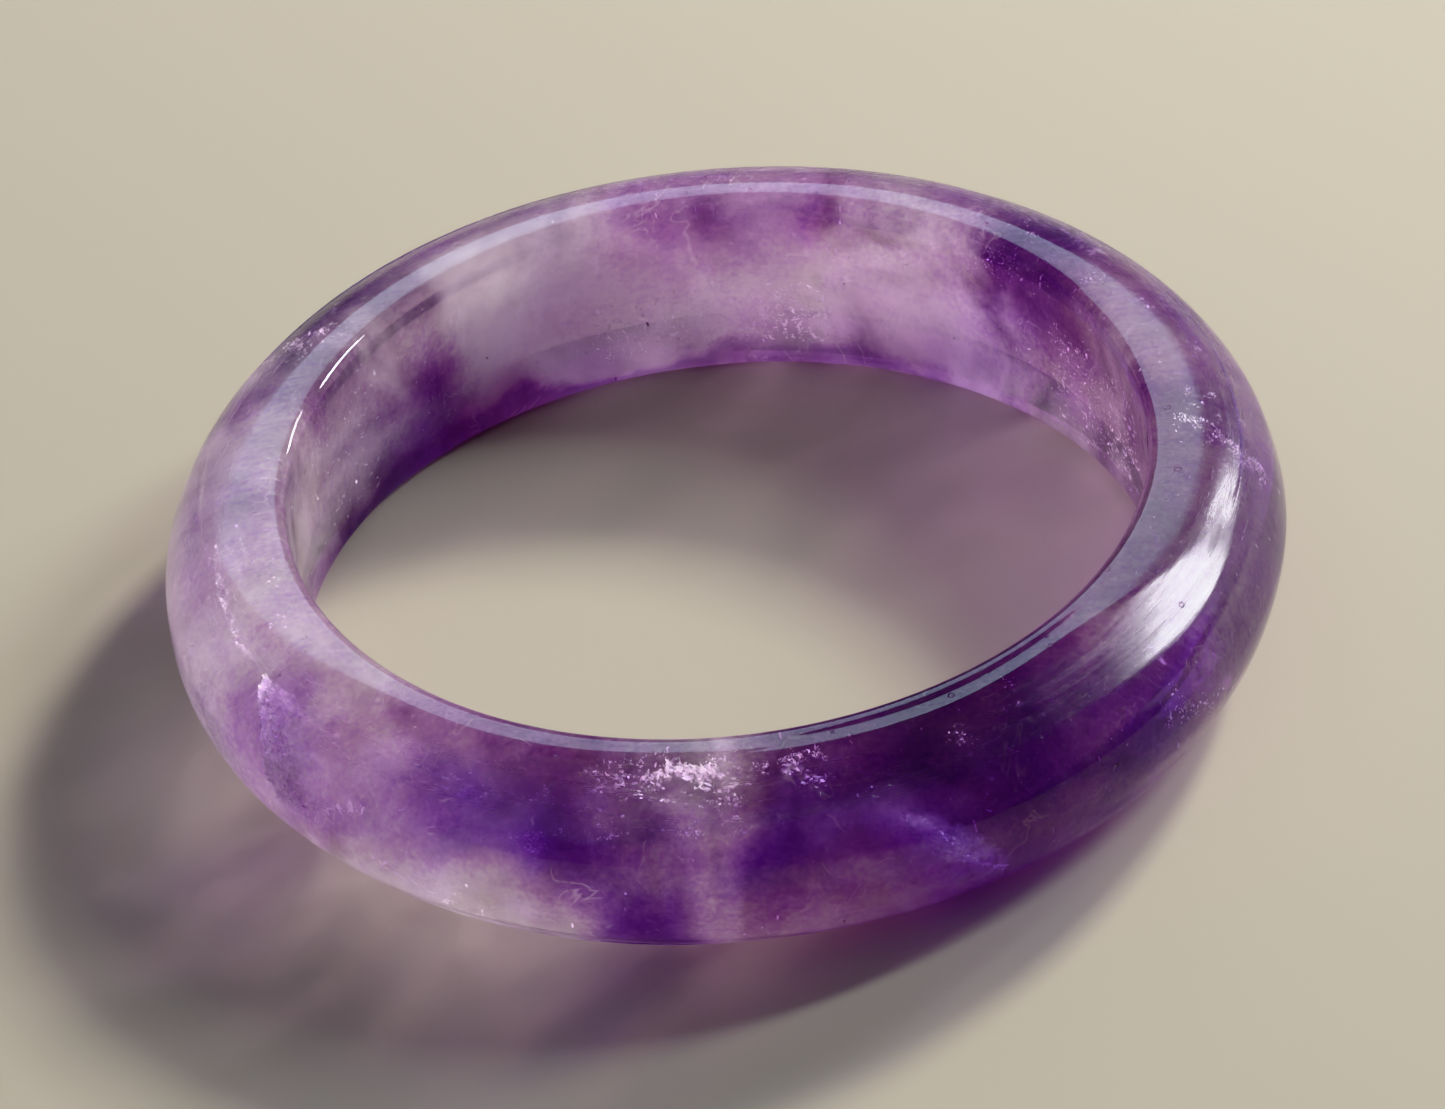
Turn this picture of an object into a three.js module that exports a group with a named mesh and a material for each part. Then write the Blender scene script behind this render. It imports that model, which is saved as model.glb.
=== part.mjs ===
// A bangle bracelet cut from one piece of amethyst: a rigid ring, polished all over.
// Its section is a D: a straight inner wall, a narrow flat ring above and below, a flat
// ground shoulder on each side of the outer face, and a round outer face.
// Millimetres, +Z up. The origin is at the centre of the flat ring that the bangle rests on.

import * as THREE from 'three';

// Driving dimensions
const INNER_DIAMETER = 57;
const WALL_THICKNESS = 8.7;
const RING_WIDTH = 14.3;
const RIM_ROUNDING = 1.1;
const FLAT_RING_WIDTH = 2.0;
const SHOULDER_ANGLE = THREE.MathUtils.degToRad(50);

// Fineness of the curved stretches
const STEPS_AROUND = 96;
const STEPS_ON_RIM = 4;
const STEPS_ON_OUTER_FACE = 7;

// Worked out from the driving dimensions
const innerRadius = INNER_DIAMETER / 2;
const outerRadius = innerRadius + WALL_THICKNESS;
const halfWidth = RING_WIDTH / 2;
const outerFaceRadius = halfWidth;
const outerFaceCentre = outerRadius - outerFaceRadius;

// Points on an arc about (x, y), from one angle to another, both ends included.
function arc(x, y, radius, from, to, steps) {
  const points = [];
  for (let i = 0; i <= steps; i += 1) {
    const angle = THREE.MathUtils.lerp(from, to, i / steps);
    points.push(new THREE.Vector2(x + radius * Math.cos(angle), y + radius * Math.sin(angle)));
  }
  return points;
}

// The upper half of the section, from the inner wall over the flat ring and the shoulder
// to the widest line of the outer face. x is the distance from the axis, y the height above
// the middle of the wall.
function upperHalf() {
  const rim = arc(
    innerRadius + RIM_ROUNDING,
    halfWidth - RIM_ROUNDING,
    RIM_ROUNDING,
    Math.PI,
    Math.PI / 2,
    STEPS_ON_RIM,
  );
  const flatRingEdge = new THREE.Vector2(innerRadius + RIM_ROUNDING + FLAT_RING_WIDTH, halfWidth);
  const outerFace = arc(outerFaceCentre, 0, outerFaceRadius, SHOULDER_ANGLE, 0, STEPS_ON_OUTER_FACE);
  return [...rim, flatRingEdge, ...outerFace];
}

// The whole section as a closed outline, raised so that its lower flat ring lies at zero.
function section() {
  const upper = upperHalf();
  const lower = upper
    .slice(0, -1)
    .reverse()
    .map((point) => new THREE.Vector2(point.x, -point.y));
  const outline = [...upper, ...lower];
  outline.push(outline[0].clone());
  for (const point of outline) {
    point.y += halfWidth;
  }
  return outline.reverse();
}

function bangleRing() {
  const geometry = new THREE.LatheGeometry(section(), STEPS_AROUND);
  geometry.rotateX(Math.PI / 2);
  const amethyst = new THREE.MeshStandardMaterial({
    color: 0x8a5fa8,
    roughness: 0.12,
    metalness: 0,
  });
  const ring = new THREE.Mesh(geometry, amethyst);
  ring.name = 'bangle_ring';
  return ring;
}

const bangle = new THREE.Group();
bangle.name = 'bangle';
bangle.add(bangleRing());

export default bangle;
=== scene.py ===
import math

import bpy
import numpy as np
from mathutils import Matrix, Vector


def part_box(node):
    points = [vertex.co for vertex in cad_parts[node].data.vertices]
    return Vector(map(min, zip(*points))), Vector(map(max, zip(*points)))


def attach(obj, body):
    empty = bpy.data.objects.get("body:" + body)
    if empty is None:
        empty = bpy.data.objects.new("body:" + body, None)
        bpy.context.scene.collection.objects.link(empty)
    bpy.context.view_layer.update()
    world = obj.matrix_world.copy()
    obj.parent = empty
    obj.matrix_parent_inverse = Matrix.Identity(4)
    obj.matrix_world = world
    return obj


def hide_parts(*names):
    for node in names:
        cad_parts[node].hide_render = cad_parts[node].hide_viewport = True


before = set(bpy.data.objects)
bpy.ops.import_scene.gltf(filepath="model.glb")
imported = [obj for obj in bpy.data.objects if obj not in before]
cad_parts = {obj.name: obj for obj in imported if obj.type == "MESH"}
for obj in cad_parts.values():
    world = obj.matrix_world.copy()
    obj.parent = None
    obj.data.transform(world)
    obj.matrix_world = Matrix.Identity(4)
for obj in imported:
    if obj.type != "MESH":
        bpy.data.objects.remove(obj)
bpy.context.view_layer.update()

# The shapes and the materials are worked out in millimetres and degrees, and the lights and
# the camera are placed in metres. An azimuth is the angle round the ring from the +X axis. A
# height angle is the angle above the middle plane, seen from the centre of the round outer face
MM = 0.001
FULL_TURN = 2 * math.pi
RING_LOW, RING_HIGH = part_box("bangle_ring")
OUTER_RADIUS = (RING_HIGH[0] - RING_LOW[0]) / 2 / MM
HALF_HEIGHT = (RING_HIGH[2] - RING_LOW[2]) / 2 / MM
CENTRE = (RING_LOW + RING_HIGH) / 2

# The section of the ring
WALL = 8.7
INNER_RADIUS = OUTER_RADIUS - WALL
WALL_MIDDLE = INNER_RADIUS + WALL / 2
RIM_ROUNDING = 1.1
FACE_CENTRE = OUTER_RADIUS - HALF_HEIGHT

# The ground shoulder lies between two creases, one where the flat face ends and one where the
# round outer face starts. It is wide over part of the ring, and a facet widens it further.
# A stretch is where that fades in and where it fades out, counted from the shoulder's front
FACE_CREASE_RADIUS = 34.45
FACE_CREASE_WIDENING = 3.2
FACE_CREASE_WANDER = 0.16
OUTER_CREASE_ANGLE = 49.5
OUTER_CREASE_WIDENING = 5.5
OUTER_CREASE_WANDER = 0.7
FACET_WIDENING = 5.0
WIDE_STRETCH = (-118, -45), (32, 73)
FACET_STRETCH = (33, 50), (52, 72)
TOP_FRONT = -82
BOTTOM_FRONT = 100
FACE_BEND = 0.62                 # how far out the flat face starts to curve down, as a share

# The grinder's faint flats: waves across the section, waves round the ring and their height
GRINDER_FLATS = ((5, 2, 0.05), (9, 3, 0.03), (16, 2, 0.008), (27, 3, 0.003))
RING_STEPS = 540
WALL_ROWS = 28


# ---------------------------------------------------------------- ring mesh

def smooth_step(x):
    x = np.clip(x, 0.0, 1.0)
    return x * x * (3 - 2 * x)


def window(angle, rise, fall):
    """1 between the two stretches, 0 outside them; each stretch is (from, to) in degrees."""
    up = smooth_step((angle - rise[0]) / (rise[1] - rise[0]))
    down = smooth_step((fall[1] - angle) / (fall[1] - fall[0]))
    return up * down


def waves(angle, seed, orders, size):
    """A closed wavy line round the ring, the sum of a few sines with seeded phases."""
    rng = np.random.default_rng(seed)
    total = np.zeros_like(angle)
    for order in orders:
        phase = rng.uniform(0, FULL_TURN)
        total += math.sqrt(orders[0] / order) * np.sin(order * np.radians(angle) + phase)
    return total * size / math.sqrt(len(orders))


def rim_half(angle, front, seed):
    """One half of the section, from the inner wall's end to the widest line: the radii and the
    heights of its points, each a row with one value for every angle round the ring. front is
    the azimuth that the shoulder's stretches are counted from."""
    turned = (angle - front + 180) % 360 - 180
    wide = window(turned, *WIDE_STRETCH)
    facet = window(turned, *FACET_STRETCH)
    face_wander = waves(angle, seed, (3, 5, 8, 13), FACE_CREASE_WANDER)
    crease_r = FACE_CREASE_RADIUS - FACE_CREASE_WIDENING * wide + face_wander
    crease_up = np.sqrt(HALF_HEIGHT ** 2 - np.clip(crease_r - FACE_CENTRE, 0, None) ** 2)
    crease_up = np.minimum(crease_up, HALF_HEIGHT - 0.05)
    outer_wander = waves(angle, seed + 1, (4, 7, 11), OUTER_CREASE_WANDER)
    widening = OUTER_CREASE_WIDENING * wide
    edge = np.radians(OUTER_CREASE_ANGLE - widening - FACET_WIDENING * facet + outer_wander)
    edge_r = FACE_CENTRE + HALF_HEIGHT * np.cos(edge)
    edge_up = HALF_HEIGHT * np.sin(edge)
    rows_r, rows_z = [], []

    def add(r, z):
        rows_r.append(np.broadcast_to(r, angle.shape))
        rows_z.append(np.broadcast_to(z, angle.shape))

    # the small rounded edge at the rim
    for a in np.linspace(math.pi, math.pi / 2, 10):
        add(INNER_RADIUS + RIM_ROUNDING * (1 + math.cos(a)),
            HALF_HEIGHT - RIM_ROUNDING * (1 - math.sin(a)))
    # the flat face, which curves down towards the crease
    start = INNER_RADIUS + RIM_ROUNDING
    middle = start + FACE_BEND * (crease_r - start)
    for t in np.linspace(0, 1, 19)[1:]:
        add((1 - t) ** 2 * start + 2 * t * (1 - t) * middle + t * t * crease_r,
            (1 - t * t) * HALF_HEIGHT + t * t * crease_up)
    # the ground shoulder
    for t in np.linspace(0, 1, 15)[1:]:
        add(crease_r + t * (edge_r - crease_r), crease_up + t * (edge_up - crease_up))
    # the round outer face
    for t in np.linspace(0, 1, 37)[1:]:
        a = edge * (1 - t)
        add(FACE_CENTRE + HALF_HEIGHT * np.cos(a), HALF_HEIGHT * np.sin(a))
    return np.array(rows_r), np.array(rows_z)


def ring_section(angle):
    """The whole closed section: the radii and the heights of its points, row by row."""
    top_r, top_z = rim_half(angle, TOP_FRONT, seed=3)
    low_r, low_z = rim_half(angle, BOTTOM_FRONT, seed=11)
    up_the_wall = np.linspace(0, 1, WALL_ROWS + 2)[1:-1, None]
    wall_z = -low_z[0] + up_the_wall * (top_z[0] + low_z[0])
    wall_r = np.full_like(wall_z, INNER_RADIUS)
    r = np.concatenate([wall_r, top_r, low_r[-2::-1]])
    z = np.concatenate([wall_z, top_z, -low_z[-2::-1]])
    # soften every corner a little
    for _ in range(2):
        r = 0.25 * np.roll(r, 1, 0) + 0.5 * r + 0.25 * np.roll(r, -1, 0)
        z = 0.25 * np.roll(z, 1, 0) + 0.5 * z + 0.25 * np.roll(z, -1, 0)
    return r, z


def add_grinder_flats(r, z, angle):
    """Moves the section in and out, along its own normal, in long shallow waves."""
    dr = np.roll(r, -1, 0) - np.roll(r, 1, 0)
    dz = np.roll(z, -1, 0) - np.roll(z, 1, 0)
    length = np.hypot(dr, dz)
    rows = np.arange(len(r))[:, None] / len(r) * FULL_TURN
    rng = np.random.default_rng(29)
    lift = np.zeros_like(r)
    for across, around, size in GRINDER_FLATS:
        p, q = rng.uniform(0, FULL_TURN, 2)
        lift += size * np.sin(across * rows + p) * np.sin(around * np.radians(angle) + q)
    return r + dz / length * lift, z - dr / length * lift


def new_object(name, data):
    made = bpy.data.objects.new(name, data)
    bpy.context.scene.collection.objects.link(made)
    return made


def ring_mesh(name):
    angle = np.linspace(0, 360, RING_STEPS, endpoint=False)
    r, z = add_grinder_flats(*ring_section(angle), angle)
    z = np.clip(z, -HALF_HEIGHT, HALF_HEIGHT) + HALF_HEIGHT
    turn = np.radians(angle)
    points = np.stack([r * np.cos(turn), r * np.sin(turn), z], -1).reshape(-1, 3) * MM
    faces = []
    for row in range(len(r)):
        here = row * RING_STEPS
        above = (row + 1) % len(r) * RING_STEPS
        for i in range(RING_STEPS):
            n = (i + 1) % RING_STEPS
            faces.append((here + i, above + i, above + n, here + n))
    mesh = bpy.data.meshes.new(name)
    mesh.from_pydata(points.tolist(), [], faces)
    mesh.polygons.foreach_set("use_smooth", [True] * len(mesh.polygons))
    mesh.update()
    return new_object(name, mesh)


# ---------------------------------------------------------------- node helper

class Graph:
    """Short calls that add nodes to a material and link them."""

    def __init__(self, tree):
        self.tree = tree

    def feed(self, socket, value):
        if isinstance(value, bpy.types.NodeSocket):
            self.tree.links.new(value, socket)
        elif value is not None:
            socket.default_value = value

    def node(self, kind, inputs=(), **settings):
        made = self.tree.nodes.new(kind)
        for key, value in settings.items():
            setattr(made, key, value)
        for key, value in dict(inputs).items():
            self.feed(made.inputs[key], value)
        return made

    def math(self, operation, a, b=None, c=None, clamp=False):
        """An operation on up to three numbers."""
        made = self.node("ShaderNodeMath", operation=operation, use_clamp=clamp)
        for socket, value in zip(made.inputs, (a, b, c)):
            self.feed(socket, value)
        return made.outputs[0]

    def vector(self, operation, a, b=None, scale=None):
        """An operation on vectors."""
        made = self.node("ShaderNodeVectorMath", operation=operation)
        self.feed(made.inputs[0], a)
        self.feed(made.inputs[1], b)
        if scale is not None:
            self.feed(made.inputs["Scale"], scale)
        gives_number = operation in ("DISTANCE", "LENGTH", "DOT_PRODUCT")
        return made.outputs["Value" if gives_number else "Vector"]

    def noise(self, vector, scale, detail=3.0, rough=0.55, distortion=0.0, colour=False):
        made = self.node("ShaderNodeTexNoise", {
            "Vector": vector,
            "Scale": scale,
            "Detail": detail,
            "Roughness": rough,
            "Distortion": distortion,
        })
        return made.outputs["Color" if colour else "Fac"]

    def span(self, value, low, high, to_low=0.0, to_high=1.0, smooth=True):
        """Goes from to_low to to_high while the value goes from low to high."""
        kind = "SMOOTHSTEP" if smooth else "LINEAR"
        made = self.node("ShaderNodeMapRange", interpolation_type=kind)
        for socket, given in zip(made.inputs, (value, low, high, to_low, to_high)):
            self.feed(socket, given)
        return made.outputs[0]

    def blend(self, factor, a, b):
        """Between two numbers."""
        made = self.node("ShaderNodeMix", data_type="FLOAT")
        self.feed(made.inputs[0], factor)
        self.feed(made.inputs[2], a)
        self.feed(made.inputs[3], b)
        return made.outputs[0]

    def mix(self, factor, a, b, blend="MIX"):
        """Between two colours."""
        made = self.node("ShaderNodeMix", data_type="RGBA", blend_type=blend)
        self.feed(made.inputs[0], factor)
        self.feed(made.inputs[6], a)
        self.feed(made.inputs[7], b)
        return made.outputs[2]

    def ramp(self, factor, stops):
        made = self.node("ShaderNodeValToRGB", {"Fac": factor})
        ramp = made.color_ramp
        while len(ramp.elements) < len(stops):
            ramp.elements.new(0.5)
        for element, (position, colour) in zip(ramp.elements, stops):
            element.position = position
            element.color = (*colour, 1)
        return made.outputs[0]


# ---------------------------------------------------------------- amethyst

# In the functions below, a noise scale is in bumps per millimetre, and a span of heights or of
# distances is in millimetres

# How the colour lies round the ring: (azimuth in degrees, upper half, lower half, cloudiness),
# each from 0 to 1, once for the outer side of the wall and once for the inner side
OUTER_SIDE = (
    (-180, 0.28, 0.26, 0.50),
    (-165, 0.32, 0.28, 0.44),
    (-150, 0.60, 0.60, 0.22),
    (-138, 0.48, 0.28, 0.46),
    (-126, 0.60, 0.00, 0.60),
    (-116, 0.95, 0.02, 0.38),
    (-110, 0.95, 0.34, 0.14),
    (-106, 0.72, 1.00, 0.02),
    (-99, 0.62, 1.00, 0.02),
    (-92, 0.54, 0.45, 0.24),
    (-84, 0.96, 0.50, 0.22),
    (-74, 0.74, 0.38, 0.40),
    (-65, 0.92, 0.72, 0.08),
    (-54, 0.72, 0.74, 0.12),
    (-42, 0.58, 0.68, 0.08),
    (-28, 0.40, 0.44, 0.14),
    (-12, 0.66, 0.66, 0.00),
    (6, 0.48, 0.60, 0.00),
    (25, 0.56, 0.64, 0.00),
    (45, 0.58, 0.75, 0.12),
    (70, 0.48, 0.48, 0.30),
    (95, 0.82, 0.45, 0.25),
    (118, 0.50, 0.60, 0.25),
    (135, 0.70, 0.85, 0.15),
    (152, 0.40, 0.46, 0.46),
    (168, 0.36, 0.36, 0.50),
)
INNER_SIDE = (
    (-180, 0.46, 0.18, 0.36),
    (-150, 0.35, 0.25, 0.50),
    (-118, 0.75, 0.45, 0.25),
    (-98, 0.50, 0.40, 0.40),
    (-66, 0.90, 0.80, 0.10),
    (-40, 0.45, 0.55, 0.20),
    (-5, 0.44, 0.45, 0.02),
    (12, 0.50, 0.42, 0.20),
    (26, 0.60, 0.46, 0.30),
    (38, 0.90, 0.40, 0.22),
    (48, 0.55, 0.32, 0.60),
    (64, 0.38, 0.34, 0.78),
    (74, 0.64, 0.30, 0.70),
    (86, 0.76, 0.28, 0.75),
    (94, 0.70, 0.28, 0.80),
    (106, 0.34, 0.16, 0.86),
    (118, 0.00, 0.10, 1.00),
    (129, 0.30, 0.86, 0.40),
    (138, 0.18, 0.36, 0.58),
    (154, 0.50, 0.36, 0.42),
    (168, 0.42, 0.14, 0.50),
)
FAR_SIDE = (-0.26, 0.97, 0.0)    # towards the far side of the ring, whose inner wall shows most

# The colour of the stone's surface, from the least to the most violet
SURFACE_VIOLETS = (
    (0.00, (0.85, 0.83, 0.85)),
    (0.30, (0.73, 0.67, 0.76)),
    (0.60, (0.48, 0.28, 0.61)),
    (0.85, (0.26, 0.11, 0.44)),
    (1.00, (0.16, 0.05, 0.33)),
)
CLOUD_COLOUR = (0.92, 0.87, 0.94, 1)
TRACE_COLOUR = (0.97, 0.93, 0.98, 1)
# The colours that light takes on in the stone, each on the inner and the outer side of the wall
PALE = (0.66, 0.62, 0.62, 1), (0.65, 0.59, 0.70, 1)
MAUVE = (0.68, 0.38, 0.62, 1), (0.62, 0.34, 0.68, 1)
DEEP = (0.52, 0.10, 0.52, 1), (0.38, 0.08, 0.70, 1)
SURFACE_TINT = (1.0, 0.98, 0.91, 1), (1.0, 1.0, 1.0, 1)
LAMP_LIGHT_KEPT = (0.66, 0.62, 0.68, 1)     # each time it passes the surface
MILK_COLOUR = (0.99, 0.975, 0.97, 1)
# Densities of the volume, per metre
STAIN_DENSITY = 20.0, 360.0      # where the stone is palest and where it is deepest
HAZE_DENSITY = 10.0, 480.0       # where the stone is clearest and where it is cloudiest
MILKY_DENSITY = 2800.0           # added along the milky cracks
MILKY_CRACKS = 3                 # how many of the first rows of CRACKS are milky as well
QUARTZ_IOR = 1.544


def side_ramp(g, turn, rows):
    """The three values of a side's table at a place round the ring; turn runs from 0 to 1."""
    stops = [((azimuth + 180) / 360, values) for azimuth, *values in rows]
    made = g.ramp(turn, [*stops, (1.0, stops[0][1])])
    return g.node("ShaderNodeSeparateColor", {0: made}).outputs


def shift(g, place, scale, size, detail):
    """A vector of the given size, in millimetres, that wanders with the place."""
    wander = g.noise(place, scale, detail, colour=True)
    return g.vector("SCALE", g.vector("SUBTRACT", wander, (0.5, 0.5, 0.5)), scale=size)


def round_the_ring(g, place):
    """Three sockets for a place: how far round the ring (0 to 1), how far out from the middle
    of the hole, and how high, the last two in millimetres."""
    axes = g.node("ShaderNodeSeparateXYZ", {0: place}).outputs
    turn = g.math("MULTIPLY_ADD", g.math("ARCTAN2", axes[1], axes[0]), 0.5 / math.pi, 0.5)
    across = g.vector("LENGTH", g.vector("MULTIPLY", place, (1, 1, 0)))
    return turn, across, axes[2]


def spread(g, noise, size, reach=0.25):
    """A noise turned into a change of up to the given size, either way. reach is how far the
    noise has to be from its middle for the whole change."""
    return g.span(noise, 0.5 - reach, 0.5 + reach, -size, size, smooth=False)


def zoning(g, place, detail):
    """How violet and how cloudy the crystal is at a place, and how near the outer side of the
    wall, as three sockets. detail is how many finer layers the noises get: the surface takes
    more of them than the inside."""
    bent = g.vector("ADD", place, shift(g, place, 0.10, 11.0, detail))
    turn, across, height = round_the_ring(g, bent)
    outward = g.span(across, WALL_MIDDLE - 2.5, WALL_MIDDLE + 1.5)
    upward = g.span(height, HALF_HEIGHT - 3.5, HALF_HEIGHT + 3.5)
    upward_in = g.span(height, HALF_HEIGHT - 0.5, HALF_HEIGHT + 5.5)
    inner = side_ramp(g, turn, INNER_SIDE)
    outer = side_ramp(g, turn, OUTER_SIDE)
    violet_in = g.blend(upward_in, inner[1], inner[0])
    violet_out = g.blend(upward, outer[1], outer[0])
    violet = g.blend(outward, violet_in, violet_out)
    cloudy = g.blend(outward, inner[2], outer[2])
    # the far wall's violet line along the bottom of the inner wall is painted shade
    violet, cloudy = far_wall_bands(g, bent, across, height, violet, cloudy)
    grain = g.noise(bent, 0.17, 1.0 + detail, 0.55)
    violet = g.math("ADD", violet, spread(g, grain, 0.26), clamp=True)
    puffs = g.noise(g.vector("ADD", bent, (31.0, 7.0, 3.0)), 0.26, 1.0 + detail, 0.6)
    where_cloudy = g.span(cloudy, 0.0, 0.4, 0.15, 1.0)
    uneven = g.math("MULTIPLY", spread(g, puffs, 0.7), where_cloudy)
    cloudy = g.math("ADD", cloudy, uneven, clamp=True)
    return violet, cloudy, outward


def far_wall_bands(g, bent, across, height, violet, cloudy):
    """Adds the bands on the far side of the ring: a violet line along the bottom of the inner
    wall, which is painted shade in place of the dark reflection that the lower inner edge
    shows, with a paler band above it, and a clearer top."""
    far_side = g.span(g.vector("DOT_PRODUCT", bent, FAR_SIDE), 10.0, 24.0)
    near_hole = g.span(across, INNER_RADIUS + 1.2, INNER_RADIUS + 3.8, 1.0, 0.0)
    far_wall = g.math("MULTIPLY", far_side, near_hole)
    # painted shade: the stone made more violet along the bottom of the far inner wall
    painted_shade_line = g.span(height, 0.8, 2.6, 1.0, 0.0)
    violet = g.math("MULTIPLY_ADD", painted_shade_line, far_wall, violet)
    pale_band = g.math("MULTIPLY", g.span(height, 1.8, 3.4), g.span(height, 4.5, 7.5, 0.7, 0.0))
    cloudy = g.math("MULTIPLY_ADD", pale_band, far_wall, cloudy)
    clear_top = g.math("MULTIPLY", g.span(height, 9.5, 13.0), far_side)
    return violet, g.math("MULTIPLY_ADD", clear_top, -0.2, cloudy)


def in_millimetres(g):
    return g.vector("SCALE", g.node("ShaderNodeTexCoord").outputs["Object"], scale=1 / MM)


def surface_colour(g, place):
    """The zones, with fibres, grains, clouds and healed traces over them."""
    violet, cloudy, outward = zoning(g, place, 3.0)
    stretched = g.vector("MULTIPLY", place, (0.5, 1.6, 0.9))
    fibres = g.noise(stretched, 1.0, 4.0, 0.65, distortion=0.6)
    violet = g.math("ADD", violet, spread(g, fibres, 0.11, 0.2))
    grains = g.noise(place, 2.6, 2.0, 0.6)
    violet = g.math("ADD", violet, spread(g, grains, 0.12, 0.2), clamp=True)
    colour = g.ramp(violet, SURFACE_VIOLETS)
    colour = g.mix(g.math("MULTIPLY", cloudy, 0.3), colour, CLOUD_COLOUR)
    colour = g.mix(1.0, colour, g.mix(outward, *SURFACE_TINT), "MULTIPLY")
    return g.mix(healed_traces(g, place), colour, TRACE_COLOUR)


def healed_traces(g, place):
    """Thin pale lines where old cracks come near the surface, from 0 to 1."""
    field = g.noise(place, 0.16, 3.0, 0.55, distortion=0.8)
    line = g.span(g.math("ABSOLUTE", g.math("SUBTRACT", field, 0.5)), 0.0, 0.012, 1.0, 0.0)
    broken = g.span(g.noise(place, 0.5, 2.0, 0.6), 0.5, 0.62)
    return g.math("MULTIPLY", g.math("MULTIPLY", line, broken), 0.6)


def milky_sheet(g, place, torn, row):
    """1 on the plane of a crack and 0 away from it, torn by a noise."""
    az_from, up_from, az_to, up_to, shallow, deep, lean, _, _ = row
    start = Vector(under_face(az_from, up_from, shallow))
    end = Vector(under_face(az_to, up_to, shallow))
    inside = Vector(under_face((az_from + az_to) / 2 + lean, (up_from + up_to) / 2, deep))
    facing = (end - start).cross(inside - start).normalized()
    middle = (start + end + inside) / 3
    reach = max((corner - middle).length for corner in (start, end, inside))
    away = g.vector("DOT_PRODUCT", g.vector("SUBTRACT", place, tuple(start)), tuple(facing))
    away = g.math("ADD", away, spread(g, torn, 0.5, 0.2))
    on_plane = g.span(g.math("ABSOLUTE", away), 0.1, 0.7, 1.0, 0.0)
    near = g.span(g.vector("DISTANCE", place, tuple(middle)), reach * 0.5, reach, 1.0, 0.0)
    ragged = g.span(torn, 0.36, 0.60)
    return g.math("MULTIPLY", g.math("MULTIPLY", on_plane, near), ragged)


def polish(g, place):
    """The marks of the polishing wheel: faint lines that run round the ring. Returns their
    height and the places where the polish is duller, both from 0 to 1."""
    turn, across, height = round_the_ring(g, place)
    along = g.math("MULTIPLY", turn, 36.0)
    lines = g.node("ShaderNodeCombineXYZ", {
        0: along,
        1: g.math("MULTIPLY", across, 2.2),
        2: g.math("MULTIPLY", height, 2.2),
    }).outputs[0]
    streak = g.noise(lines, 1.0, 4.0, 0.65)
    patch = g.noise(place, 0.35, 2.0, 0.6)
    on_shoulder = g.math("MULTIPLY",
                         g.span(height, 2 * HALF_HEIGHT - 4.0, 2 * HALF_HEIGHT - 2.4),
                         g.span(across, INNER_RADIUS + 2.4, INNER_RADIUS + 4.0))
    dull = g.math("MULTIPLY", g.span(streak, 0.4, 0.75), g.span(patch, 0.3, 0.7), clamp=True)
    brushed = g.math("MULTIPLY", on_shoulder, g.span(streak, 0.3, 0.7, 0.55, 1.0))
    relief = g.math("MULTIPLY", streak, g.span(on_shoulder, 0.0, 1.0, 0.06, 1.0))
    return relief, g.math("MAXIMUM", g.math("MULTIPLY", dull, 0.2), brushed)


def pits(g, place):
    """1 on the sound surface, falling to 0 in small scattered pits."""
    cells = g.node("ShaderNodeTexVoronoi", {"Vector": place, "Scale": 0.9, "Randomness": 1.0})
    chance = g.node("ShaderNodeSeparateColor", {0: cells.outputs["Color"]}).outputs[0]
    width = g.span(chance, 0.80, 1.0, 0.0, 0.22)
    return g.span(g.math("SUBTRACT", cells.outputs["Distance"], width), -0.06, 0.02)


def polished_surface(g, place):
    """The shader of the stone's surface."""
    relief, dull = polish(g, place)
    lines = g.node("ShaderNodeBump", {
        "Strength": 0.6,
        "Distance": 0.03 * MM,
        "Height": relief,
    })
    holes = g.node("ShaderNodeBump", {
        "Strength": 0.8,
        "Distance": 0.08 * MM,
        "Height": pits(g, place),
        "Normal": lines.outputs[0],
    })
    shader = g.node("ShaderNodeBsdfPrincipled", {
        "Base Color": surface_colour(g, place),
        "Roughness": g.span(dull, 0.0, 1.0, 0.035, 0.30, smooth=False),
        "IOR": QUARTZ_IOR,
        "Transmission Weight": 0.95,
        "Normal": holes.outputs[0],
    })
    # lamps shine into the crystal and through it, and it tints what they light behind it
    lamp_path = g.node("ShaderNodeLightPath").outputs["Is Shadow Ray"]
    let_through = g.node("ShaderNodeBsdfTransparent", {"Color": LAMP_LIGHT_KEPT})
    return g.node("ShaderNodeMixShader", {
        0: lamp_path,
        1: shader.outputs[0],
        2: let_through.outputs[0],
    })


def clouded_inside(g, place):
    """The volume shader: violet stain, haze and the milky cracks."""
    violet, cloudy, outward = zoning(g, place, 1.0)
    pale, mauve, deep = (g.mix(outward, *pair) for pair in (PALE, MAUVE, DEEP))
    light_stain = g.mix(g.span(violet, 0.0, 0.5), pale, mauve)
    strength = g.math("POWER", violet, 1.8)
    stain = g.node("ShaderNodeVolumeAbsorption", {
        "Color": g.mix(g.span(violet, 0.45, 0.9), light_stain, deep),
        "Density": g.span(strength, 0.0, 1.0, *STAIN_DENSITY, smooth=False),
    })
    haze = g.span(g.math("POWER", cloudy, 2.0), 0.0, 1.0, *HAZE_DENSITY, smooth=False)
    torn = g.noise(place, 0.9, 2.0, 0.7, distortion=0.5)
    for row in CRACKS[:MILKY_CRACKS]:
        sheet = milky_sheet(g, place, torn, row)
        haze = g.math("MULTIPLY_ADD", sheet, MILKY_DENSITY, haze)
    milk = g.node("ShaderNodeVolumeScatter", {
        "Color": MILK_COLOUR,
        "Density": haze,
        "Anisotropy": 0.3,
    })
    return g.node("ShaderNodeAddShader", {0: stain.outputs[0], 1: milk.outputs[0]})


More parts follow.
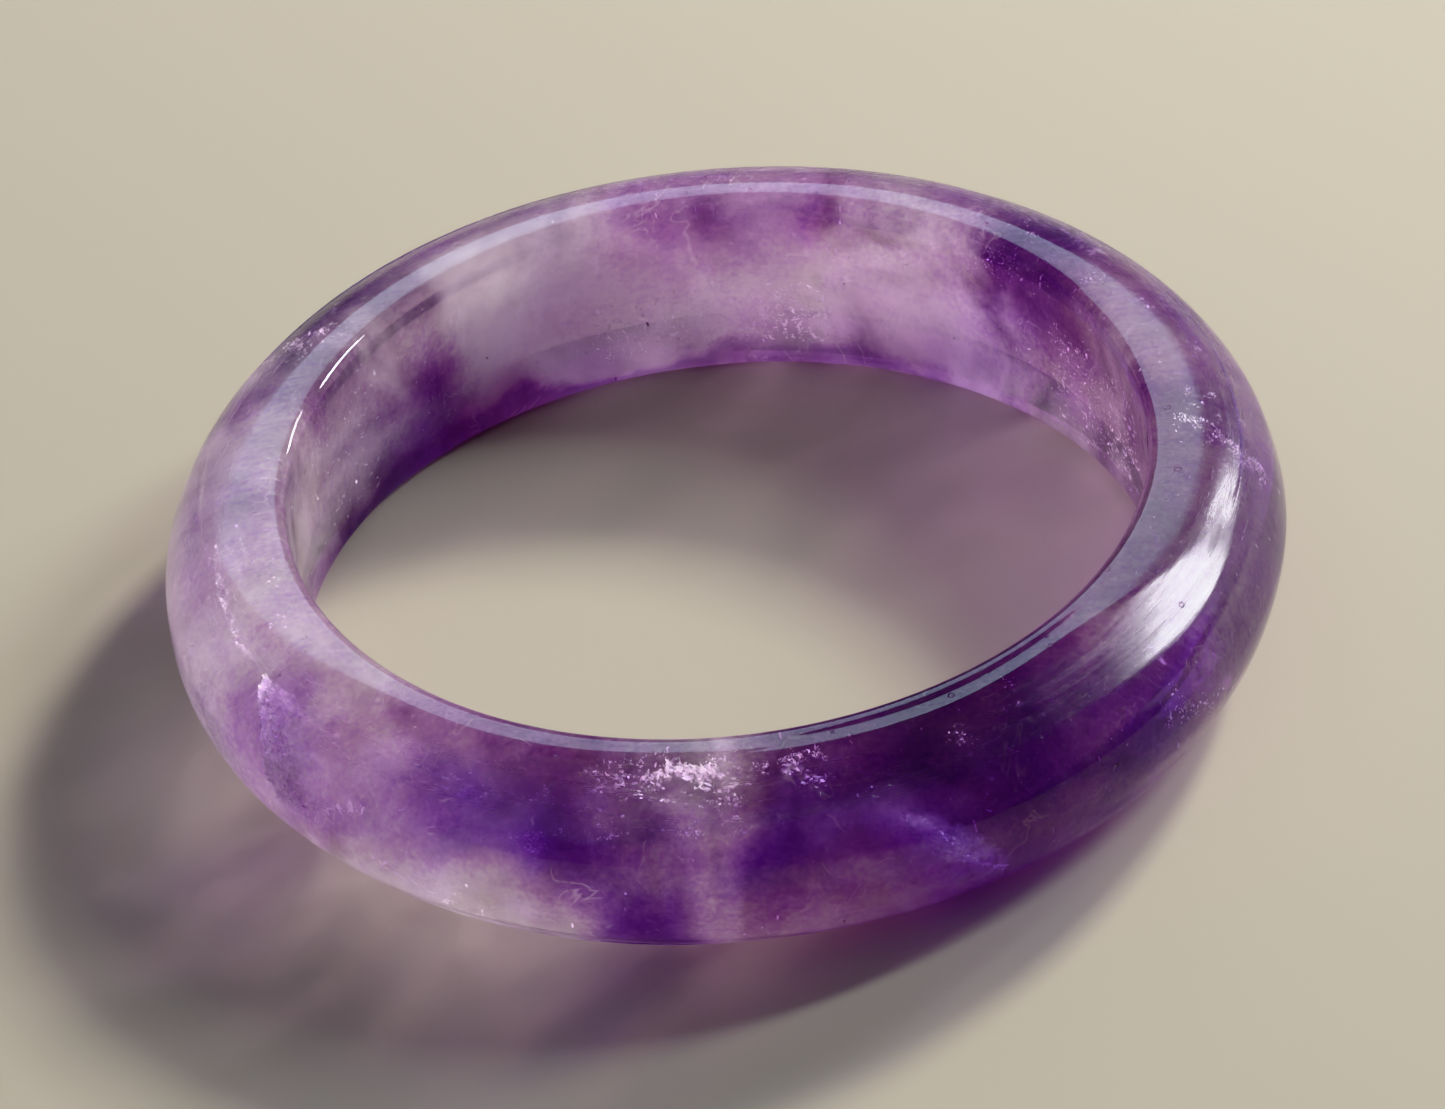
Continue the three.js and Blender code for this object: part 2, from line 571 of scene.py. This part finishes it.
def amethyst():
    material = bpy.data.materials.new("amethyst")
    material.use_nodes = True
    material.node_tree.nodes.clear()
    g = Graph(material.node_tree)
    place = in_millimetres(g)
    g.node("ShaderNodeOutputMaterial", {
        "Surface": polished_surface(g, place).outputs[0],
        "Volume": clouded_inside(g, place).outputs[0],
    })
    return material


# ---------------------------------------------------------------- cracks and specks inside

# Shattered zones, filled with short cracks that lie every way. Each row: azimuths and height
# angles it spans (degrees), number of cracks, flakes in each and their largest radius (mm)
SHATTERED = (
    (-111, -82, 64, 86, 24, 50, 0.12),
    (-100, -95, 71, 84, 10, 80, 0.17),
    (-108, -86, 36, 60, 14, 50, 0.08),
    (-134, -112, 24, 70, 20, 50, 0.10),
    (-70, -56, 60, 86, 5, 26, 0.09),
    (-44, -30, -20, 20, 4, 20, 0.10),
    (-178, -158, 45, 86, 14, 40, 0.10),
    (-8, 14, 40, 86, 8, 40, 0.10),
    (24, 50, 30, 80, 14, 40, 0.11),
    (76, 104, 40, 86, 7, 30, 0.09),
    (136, 156, 40, 86, 9, 40, 0.10),
)
# Healed cracks, each a sheet of tiny bright flakes that starts along a line just under the
# outer face and runs inward. Each row: azimuth and height angle where the line starts, the
# same where it ends (degrees), how deep the sheet starts and ends (mm), how far it leans
# round the ring on its way in (degrees), number of flakes and their largest radius (mm)
CRACKS = (
    (-153, 52, -145, -4, 0.20, 4.0, 8, 3800, 0.20),
    (-168, 24, -156, -14, 0.25, 2.0, 3, 900, 0.13),
    (-74, 30, -64, -34, 0.35, 5.0, -6, 900, 0.14),
    (-132, -8, -121, -38, 0.40, 2.0, 4, 260, 0.14),
    (-44, 8, -34, -14, 0.40, 2.2, 4, 120, 0.12),
    (-1, 88, -7, 30, 0.15, 1.4, -2, 800, 0.10),
    (140, 76, 150, 40, 0.40, 2.5, 4, 400, 0.16),
    (-178, 62, -160, 50, 0.50, 2.8, 2, 500, 0.15),
    (34, 60, 52, 20, 0.60, 3.5, 3, 400, 0.13),
    (84, 72, 104, 60, 0.60, 3.0, -3, 400, 0.10),
)
# A flake is a thin five-sided leaf. Some are glints, small mirrors that face about the same way
FLAKE_SIDES = 5
GLINT_SHARE = 0.35
GLINT_FACING = (0.38, -0.30, 0.87)
GLINT_SCATTER = 0.28


def under_face(azimuth, height_angle, depth):
    """A place under the outer face: azimuth and height angle in degrees, depth in millimetres."""
    reach = HALF_HEIGHT - depth
    up = np.radians(height_angle)
    out = FACE_CENTRE + reach * np.cos(up)
    turn = np.radians(azimuth)
    return np.stack([out * np.cos(turn), out * np.sin(turn), HALF_HEIGHT + reach * np.sin(up)], -1)


def crack_places(rng, row):
    """The places of one crack's flakes, the sheet's normal at each and the way inward."""
    az_from, up_from, az_to, up_to, shallow, deep, lean, count, _ = row
    along = rng.random(count)
    inward = rng.random(count) ** 1.6
    wander = 1.2 * np.sin(along * 9.0 + rng.uniform(0, 6))
    wander = wander + 0.5 * np.sin(along * 23.0 + inward * 4.0)
    ragged = 0.25 * np.sin(along * 17.0 + rng.uniform(0, 6)) + 0.15 * np.sin(along * 41.0)
    inward = inward * (0.75 + ragged)

    def sheet(s, t):
        azimuth = az_from + s * (az_to - az_from) + t * lean + wander * 0.45
        return under_face(azimuth, up_from + s * (up_to - up_from), shallow + t * (deep - shallow))

    here = sheet(along, inward) + rng.normal(0, 0.05, (count, 3))
    run = sheet(along + 0.01, inward) - sheet(along, inward)
    dive = sheet(along, inward + 0.01) - sheet(along, inward)
    return here, np.cross(run, dive), dive


def flake_mesh(rng, name, places, normals, grain, largest):
    """One mesh of closed, thin, uneven five-sided flakes, one at each place, drawn out along
    the grain. A flake is a rim with a low tip on each side."""
    count = len(places)
    glints = rng.random(count) < GLINT_SHARE
    normals = normals / np.linalg.norm(normals, axis=1, keepdims=True)
    normals = normals + rng.normal(0, 1.2, normals.shape)
    aligned = np.array(GLINT_FACING) + rng.normal(0, GLINT_SCATTER, normals.shape)
    normals = np.where(glints[:, None], aligned, normals)
    normals /= np.linalg.norm(normals, axis=1, keepdims=True)
    grain = grain / np.linalg.norm(grain, axis=1, keepdims=True)
    grain = grain + rng.normal(0, 0.3, normals.shape)
    helper = grain - normals * np.sum(grain * normals, axis=1, keepdims=True)
    helper /= np.linalg.norm(helper, axis=1, keepdims=True)
    other = np.cross(normals, helper)
    radius = largest * (0.16 + 0.84 * rng.random(count) ** 3.0)
    stretch = 1 + 2.0 * rng.random(count)
    uneven = rng.uniform(-0.3, 0.3, (count, FLAKE_SIDES))
    corners = np.arange(FLAKE_SIDES) / FLAKE_SIDES * FULL_TURN + uneven
    reach = radius[:, None] * rng.uniform(0.6, 1.0, (count, FLAKE_SIDES))
    with_grain = (reach * np.cos(corners) * stretch[:, None])[..., None]
    across_grain = (reach * np.sin(corners))[..., None]
    rim = places[:, None] + helper[:, None] * with_grain + other[:, None] * across_grain
    tip = normals * (0.1 * radius)[:, None]
    tips = np.stack([places + tip, places - tip], 1)
    points = np.concatenate([rim, tips], 1).reshape(-1, 3) * MM
    faces = []
    for first in range(0, len(points), FLAKE_SIDES + 2):
        upper_tip = first + FLAKE_SIDES
        for c in range(FLAKE_SIDES):
            d = (c + 1) % FLAKE_SIDES
            faces.append((first + c, first + d, upper_tip))
            faces.append((first + d, first + c, upper_tip + 1))
    mesh = bpy.data.meshes.new(name)
    mesh.from_pydata(points.tolist(), [], faces)
    materials = np.repeat(glints, 2 * FLAKE_SIDES).astype(np.int32)
    mesh.polygons.foreach_set("material_index", materials)
    mesh.update()
    return new_object(name, mesh)


def cracks():
    rng = np.random.default_rng(41)
    made = []
    for number, row in enumerate(CRACKS, 1):
        places, normals, grain = crack_places(rng, row)
        name = f"healed_crack_{number:02d}"
        made.append(flake_mesh(rng, name, places, normals, grain, row[-1]))
    return made


def shattered_zones():
    rng = np.random.default_rng(43)
    made = []
    for number, zone in enumerate(SHATTERED, 1):
        az_from, az_to, up_from, up_to, many, flakes, largest = zone
        sheets = []
        for _ in range(many):
            azimuth = rng.uniform(az_from, az_to)
            up = rng.uniform(up_from, up_to)
            shallow = rng.uniform(0.4, 1.2)
            row = (azimuth, up, azimuth + rng.normal(0, 2.2), up + rng.normal(0, 9),
                   shallow, shallow + rng.uniform(0.8, 2.4), rng.normal(0, 2.5), flakes, largest)
            sheets.append(crack_places(rng, row))
        places, normals, grain = (np.concatenate(part) for part in zip(*sheets))
        name = f"shattered_zone_{number:02d}"
        made.append(flake_mesh(rng, name, places, normals, grain, largest))
    return made


# Loose flakes: name, seed, count, largest radius (mm), and the azimuths (degrees), distances
# from the inner wall and heights (mm) that they are spread through
SPECKS = (
    ("pale_specks", 57, 1200, 0.12, (-180, 180), (0.5, 5.8), (1.4, 12.9)),
    ("frost_far", 58, 1700, 0.15, (72, 104), (0.25, 1.6), (2.0, 7.0)),
    ("frost_right", 59, 1200, 0.15, (12, 36), (0.25, 2.0), (1.5, 9.5)),
    ("frost_left", 60, 600, 0.14, (140, 178), (0.3, 2.2), (2.0, 11.0)),
    ("dark_specks", 61, 160, 0.14, (-180, 180), (0.5, 5.8), (1.4, 12.9)),
    ("dark_inclusions", 62, 14, 0.18, (52, 126), (0.2, 0.6), (3.5, 10.0)),
    ("dark_pits", 63, 8, 0.12, (-6, 0), (2.2, 5.0), (13.3, 13.7)),
)
SPECK_CLEARANCE = 0.6            # none comes nearer the outer face than this (mm)


def specks(name, seed, count, largest, azimuths, depths, heights):
    rng = np.random.default_rng(seed)
    turn = np.radians(rng.uniform(*azimuths, count))
    out = INNER_RADIUS + rng.uniform(*depths, count)
    reach = HALF_HEIGHT - SPECK_CLEARANCE
    room = np.sqrt(reach ** 2 - np.clip(out - FACE_CENTRE, 0, None) ** 2) - SPECK_CLEARANCE
    up = rng.uniform(*heights, count) - HALF_HEIGHT
    up = HALF_HEIGHT + np.clip(up, -room, room)
    places = np.stack([out * np.cos(turn), out * np.sin(turn), up], -1)
    normals, grain = rng.normal(0, 1, (2, *places.shape))
    return flake_mesh(rng, name, places, normals, grain, largest)


def plain_material(name, colour, roughness, alpha=1.0, metallic=0.0):
    material = bpy.data.materials.new(name)
    material.use_nodes = True
    shader = material.node_tree.nodes["Principled BSDF"]
    shader.inputs["Base Color"].default_value = (*colour, 1)
    shader.inputs["Roughness"].default_value = roughness
    shader.inputs["Alpha"].default_value = alpha
    shader.inputs["Metallic"].default_value = metallic
    shader.inputs["IOR"].default_value = 1.5
    return material


def veil_material():
    """Pale flakes, which show most of the light that falls on them from behind."""
    colour = (1.0, 0.98, 1.0)
    from_behind = 0.7
    material = plain_material("crack_veil", colour, 0.5, alpha=0.9)
    g = Graph(material.node_tree)
    nodes = material.node_tree.nodes
    behind = g.node("ShaderNodeBsdfTranslucent", {"Color": (*colour, 1)})
    both = g.node("ShaderNodeMixShader", {
        0: from_behind,
        1: nodes["Principled BSDF"].outputs[0],
        2: behind.outputs[0],
    })
    g.feed(nodes["Material Output"].inputs["Surface"], both.outputs[0])
    return material


def glint_material():
    return plain_material("crack_glint", (0.97, 0.95, 1.0), 0.3, metallic=1.0)


def dark_material():
    return plain_material("dark_speck", (0.05, 0.015, 0.06), 0.6)


# ---------------------------------------------------------------- stage, light and camera

# Each light: name, direction from the ring, distance, width and length (metres), power (watts)
# and colour
LIGHTS = (
    ("key", (0.56, 0.69, 0.50), 0.9, (0.13, 0.13), 13.5, (1.0, 0.93, 0.84)),
    ("strip", (0.77, 0.31, 0.55), 0.9, (0.06, 0.34), 5.0, (0.95, 0.97, 1.0)),
    ("rim_strip", (0.72, 0.59, 0.36), 0.9, (0.05, 0.30), 1.8, (0.95, 0.97, 1.0)),
    ("back_panel", (-0.1, 0.8, 0.62), 1.1, (1.2, 0.5), 4.5, (0.64, 0.80, 1.0)),
    ("fill", (-0.5, -0.75, 1.2), 1.4, (1.4, 1.4), 2.0, (1.0, 0.98, 0.96)),
)
# What is left out of a light: the key makes no highlight, and the panel makes nothing else
LEFT_OUT = {
    "key": ("glossy", "transmission"),
    "back_panel": ("diffuse", "volume_scatter"),
}
SKY_COLOUR = (0.85, 0.88, 0.95, 1)
SKY_STRENGTH = 0.18
FLOOR_COLOUR = (0.40, 0.375, 0.31)
FLOOR_HALF_WIDTH = 1.5
FLOOR_GAP = 0.02 * MM            # keeps the floor and the underside of the ring apart

# The camera looks along +Y and down. Its distance and its aim are given in outer radii
CAMERA_ELEVATION = math.radians(37.8)
CAMERA_ROLL = math.radians(-6.5)
CAMERA_LENS = 299.0
CAMERA_DISTANCE = 21.34 * OUTER_RADIUS * MM
CAMERA_AIM = (-0.0062 * OUTER_RADIUS * MM, -0.0296 * OUTER_RADIUS * MM, 0.0)


def floor():
    half = FLOOR_HALF_WIDTH
    corners = [(-half, -half, 0), (half, -half, 0), (half, half, 0), (-half, half, 0)]
    mesh = bpy.data.meshes.new("floor")
    mesh.from_pydata(corners, [], [(0, 1, 2, 3)])
    mesh.materials.append(plain_material("pale_floor", FLOOR_COLOUR, 0.8))
    made = new_object("floor", mesh)
    made.location.z = -FLOOR_GAP


def area_light(name, direction, distance, size, power, colour):
    """A panel that faces the ring, with its length in an upright plane."""
    data = bpy.data.lights.new(name, "AREA")
    data.shape = "RECTANGLE"
    data.size, data.size_y = size
    data.energy = power
    data.color = colour
    light = new_object(name, data)
    back = Vector(direction).normalized()
    across = Vector((0, 0, 1)).cross(back).normalized()
    turn = Matrix((across, back.cross(across), back)).transposed()
    light.matrix_world = Matrix.Translation(CENTRE + back * distance) @ turn.to_4x4()
    for kind in LEFT_OUT.get(name, ()):
        setattr(light, f"visible_{kind}", False)


def lights():
    for row in LIGHTS:
        area_light(*row)


def sky():
    """A faint even light from all round."""
    world = bpy.data.worlds.new("studio")
    world.use_nodes = True
    background = world.node_tree.nodes["Background"]
    background.inputs["Color"].default_value = SKY_COLOUR
    background.inputs["Strength"].default_value = SKY_STRENGTH
    bpy.context.scene.world = world


def look():
    """How the colours are shown, and how finely light is followed through the stone."""
    scene = bpy.context.scene
    scene.view_settings.view_transform = "Khronos PBR Neutral"
    scene.cycles.volume_bounces = 8
    scene.cycles.volume_step_rate = 0.5


def camera():
    data = bpy.data.cameras.new("camera")
    data.lens = CAMERA_LENS
    data.sensor_width = 36
    data.clip_end = 10
    made = new_object("camera", data)
    back = Vector((0, -math.cos(CAMERA_ELEVATION), math.sin(CAMERA_ELEVATION)))
    turn = (-back).to_track_quat("-Z", "Y").to_matrix().to_4x4()
    turn = turn @ Matrix.Rotation(CAMERA_ROLL, 4, "Z")
    aim = CENTRE + Vector(CAMERA_AIM)
    made.matrix_world = Matrix.Translation(aim + back * CAMERA_DISTANCE) @ turn
    bpy.context.scene.camera = made


def crystal():
    """The ring itself, in the place of the CAD's ring."""
    ring = ring_mesh("amethyst_ring")
    ring.data.materials.append(amethyst())
    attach(ring, "root")
    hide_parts("bangle_ring")


def flaws():
    """The cracks and specks inside the ring."""
    veil = veil_material()
    glint = glint_material()
    dark = dark_material()
    for piece in (*cracks(), *shattered_zones(), *(specks(*row) for row in SPECKS)):
        for material in (dark, dark) if piece.name.startswith("dark") else (veil, glint):
            piece.data.materials.append(material)
        piece.visible_shadow = False
        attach(piece, "root")


crystal()
flaws()
floor()
lights()
sky()
camera()
look()
